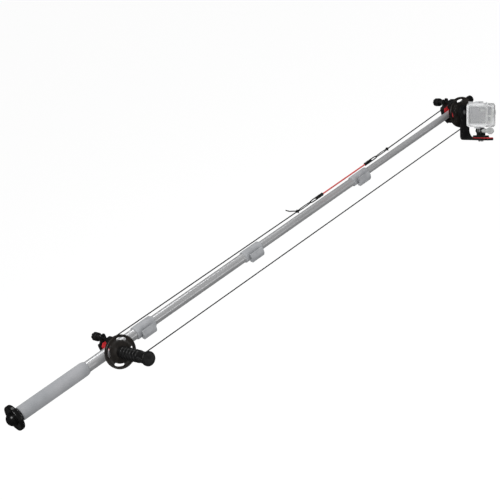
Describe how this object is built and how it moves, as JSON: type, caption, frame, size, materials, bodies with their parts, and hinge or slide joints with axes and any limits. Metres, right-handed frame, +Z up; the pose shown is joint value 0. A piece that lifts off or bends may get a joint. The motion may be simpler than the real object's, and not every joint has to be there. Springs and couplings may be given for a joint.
{
  "type": "camera jib",
  "caption": "Hand-held telescopic pole with a cord-driven camera bracket: turning the handle on the near wheel tilts the camera at the far end.",
  "frame": {"origin": "centre of the foam hand grip, on the pole's axis", "axes": "+X along the pole from the butt cap to the camera, +Z up, -Y towards the side where the wheels, the control handle and the camera stand out"},
  "size_m": [1.4415, 0.2096, 0.1186],
  "materials": {
    "rubber_black": "soft moulded rubber, satin",
    "butt_gloss": "glossy moulded rubber",
    "foam_grey": "closed-cell foam, fine open skin",
    "tube_silver": "drawn and anodised, fine lengthwise grain",
    "lock_grey": "moulded, fine spark texture",
    "bush_white": "self-lubricating nylon",
    "clamp_black": "glass-filled nylon, fine texture",
    "wheel_black": "semi-gloss moulding with flow sheen",
    "pad_red": "soft red rubber",
    "steel": "bright zinc plate",
    "bracket_black": "black powder coat",
    "knob_grey": "translucent grey moulding",
    "case_clear": "frosted clear polycarbonate",
    "case_window": "flat coated glass",
    "case_frost": "pale moulded plastic",
    "camera_grey": "soft-touch moulding",
    "lens_black": "gloss lens bezel",
    "cord_black": "braided polyester cord",
    "elastic_red": "latex elastic"
  },
  "bodies": {
    "pole_base": {"butt_cap": "butt_gloss", "foam_grip": "foam_grey", "pole_tube_1": "tube_silver", "lock_collar_1": "lock_grey", "near_clamp_body": "clamp_black", "near_clamp_pad": "pad_red", "near_axle": "steel", "cord_span_1": "cord_black"},
    "section_2": {"pole_tube_2": "tube_silver", "tube_bush_2": "bush_white", "lock_collar_2": "lock_grey", "cord_span_2": "cord_black"},
    "section_3": {"pole_tube_3": "tube_silver", "tube_bush_3": "bush_white", "lock_collar_3": "lock_grey", "cord_span_3": "cord_black"},
    "section_4": {"pole_tube_4": "tube_silver", "tube_bush_4": "bush_white", "tip_cap": "rubber_black", "far_clamp_body": "clamp_black", "far_clamp_pad": "pad_red", "far_axle": "steel", "cord_span_4": "cord_black"},
    "lock_lever_1": {"lock_lever_1": "lock_grey"},
    "lock_lever_2": {"lock_lever_2": "lock_grey"},
    "lock_lever_3": {"lock_lever_3": "lock_grey"},
    "near_jaw": {"near_clamp_jaw": "clamp_black", "near_jaw_pad": "pad_red"},
    "near_washer": {"near_clamp_washer": "steel"},
    "near_knob": {"near_clamp_knob": "clamp_black"},
    "far_jaw": {"far_clamp_jaw": "clamp_black", "far_jaw_pad": "pad_red"},
    "far_washer": {"far_clamp_washer": "steel"},
    "far_knob": {"far_clamp_knob": "clamp_black"},
    "control_handle": {"control_wheel": "wheel_black", "handle_screws": "steel", "handle_core": "clamp_black", "handle_grip": "rubber_black"},
    "camera_head": {"camera_wheel": "wheel_black", "bracket_screws": "steel", "camera_bracket": "bracket_black", "foot_pad": "pad_red", "three_prong_mount": "clamp_black", "hinge_nut": "steel", "mount_screw": "steel"},
    "thumb_screw": {"thumb_screw": "knob_grey"},
    "camera_case": {"case_shell": "case_clear", "case_lens_window": "case_window", "camera_body": "camera_grey", "camera_lens": "lens_black"},
    "case_door": {"case_door": "case_clear"},
    "case_latch": {"case_latch": "case_frost"},
    "shutter_button": {"shutter_button": "case_frost"},
    "mode_button": {"mode_button": "case_frost"},
    "tensioner": {"cord_knots": "cord_black", "cord_eyes": "cord_black", "elastic_hooks": "clamp_black", "elastic": "elastic_red", "cord_tail": "cord_black"}
  },
  "joints": [
    {"name": "section_2_slide", "type": "slide", "parent": "pole_base", "child": "section_2", "axis": [1, 0, 0], "range_m": [-0.18, 0], "deforming": ["cord_span_1"]},
    {"name": "section_3_slide", "type": "slide", "parent": "section_2", "child": "section_3", "axis": [1, 0, 0], "range_m": [-0.18, 0], "deforming": ["cord_span_2"]},
    {"name": "section_4_slide", "type": "slide", "parent": "section_3", "child": "section_4", "axis": [1, 0, 0], "range_m": [-0.12, 0], "deforming": ["cord_span_4"]},
    {"name": "lock_lever_1_flip", "type": "hinge", "parent": "pole_base", "child": "lock_lever_1", "pos_m": [0.25, -0.01315, -0.01315], "axis": [1, 0, 0], "range_deg": [0, 100]},
    {"name": "lock_lever_2_flip", "type": "hinge", "parent": "section_2", "child": "lock_lever_2", "pos_m": [0.57275, -0.01209, -0.01209], "axis": [1, 0, 0], "range_deg": [0, 100]},
    {"name": "lock_lever_3_flip", "type": "hinge", "parent": "section_3", "child": "lock_lever_3", "pos_m": [0.92125, -0.01103, -0.01103], "axis": [1, 0, 0], "range_deg": [0, 100]},
    {"name": "near_knob_turn", "type": "hinge", "parent": "near_washer", "child": "near_knob", "pos_m": [0.16, 0.03, 0.0275], "axis": [0, 1, 0], "range_deg": [0, 2160]},
    {"name": "near_screw_travel", "type": "slide", "parent": "pole_base", "child": "near_washer", "axis": [0, 1, 0], "range_m": [0, 0.0061]},
    {"name": "near_jaw_swing", "type": "hinge", "parent": "pole_base", "child": "near_jaw", "pos_m": [0.16, 0.011, -0.019], "axis": [-1, 0, 0], "range_deg": [0, 6]},
    {"name": "far_knob_turn", "type": "hinge", "parent": "far_washer", "child": "far_knob", "pos_m": [1.2445, 0.03, 0.0275], "axis": [0, 1, 0], "range_deg": [0, 2160]},
    {"name": "far_screw_travel", "type": "slide", "parent": "section_4", "child": "far_washer", "axis": [0, 1, 0], "range_m": [0, 0.0061]},
    {"name": "far_jaw_swing", "type": "hinge", "parent": "section_4", "child": "far_jaw", "pos_m": [1.2445, 0.011, -0.019], "axis": [-1, 0, 0], "range_deg": [0, 6]},
    {"name": "control_turn", "type": "hinge", "parent": "pole_base", "child": "control_handle", "pos_m": [0.16, 0, 0], "axis": [0, 1, 0], "range_deg": [-90, 90]},
    {"name": "camera_turn", "type": "hinge", "parent": "section_4", "child": "camera_head", "pos_m": [1.2445, 0, 0], "axis": [0, 1, 0], "range_deg": [-90, 90]},
    {"name": "cord_travel", "type": "slide", "parent": "section_3", "child": "tensioner", "axis": [1, 0, 0], "range_m": [-0.0557, 0.0557], "deforming": ["cord_span_3"]},
    {"name": "camera_tilt", "type": "hinge", "parent": "camera_head", "child": "camera_case", "pos_m": [1.22045, -0.112, -0.03712], "axis": [0, 1, 0], "range_deg": [-50, 50]},
    {"name": "thumb_screw_turn", "type": "hinge", "parent": "camera_head", "child": "thumb_screw", "pos_m": [1.22045, -0.112, -0.03712], "axis": [0, 1, 0], "continuous": true},
    {"name": "case_door_open", "type": "hinge", "parent": "camera_case", "child": "case_door", "pos_m": [1.21314, -0.112, -0.02507], "axis": [0, -1, 0], "range_deg": [0, 100]},
    {"name": "case_latch_lift", "type": "hinge", "parent": "case_door", "child": "case_latch", "pos_m": [1.24057, -0.112, 0.02897], "axis": [0, -1, 0], "range_deg": [0, 100]},
    {"name": "shutter_press", "type": "slide", "parent": "camera_case", "child": "shutter_button", "axis": [-0.4555, 0, -0.8902], "range_m": [0, 0.0015], "stiffness_N_per_m": 400},
    {"name": "mode_press", "type": "slide", "parent": "camera_case", "child": "mode_button", "axis": [-0.8902, 0, 0.4555], "range_m": [0, 0.0015], "stiffness_N_per_m": 400}
  ],
  "couplings": [
    {"joint": "near_screw_travel", "follows": "near_knob_turn", "m_per_rad": 0.00015915},
    {"joint": "near_jaw_swing", "follows": "near_knob_turn", "ratio": 0.0027381},
    {"joint": "far_screw_travel", "follows": "far_knob_turn", "m_per_rad": 0.00015915},
    {"joint": "far_jaw_swing", "follows": "far_knob_turn", "ratio": 0.0027381},
    {"joint": "camera_turn", "follows": "control_turn", "ratio": 1},
    {"joint": "cord_travel", "follows": "control_turn", "m_per_rad": 0.0354}
  ]
}
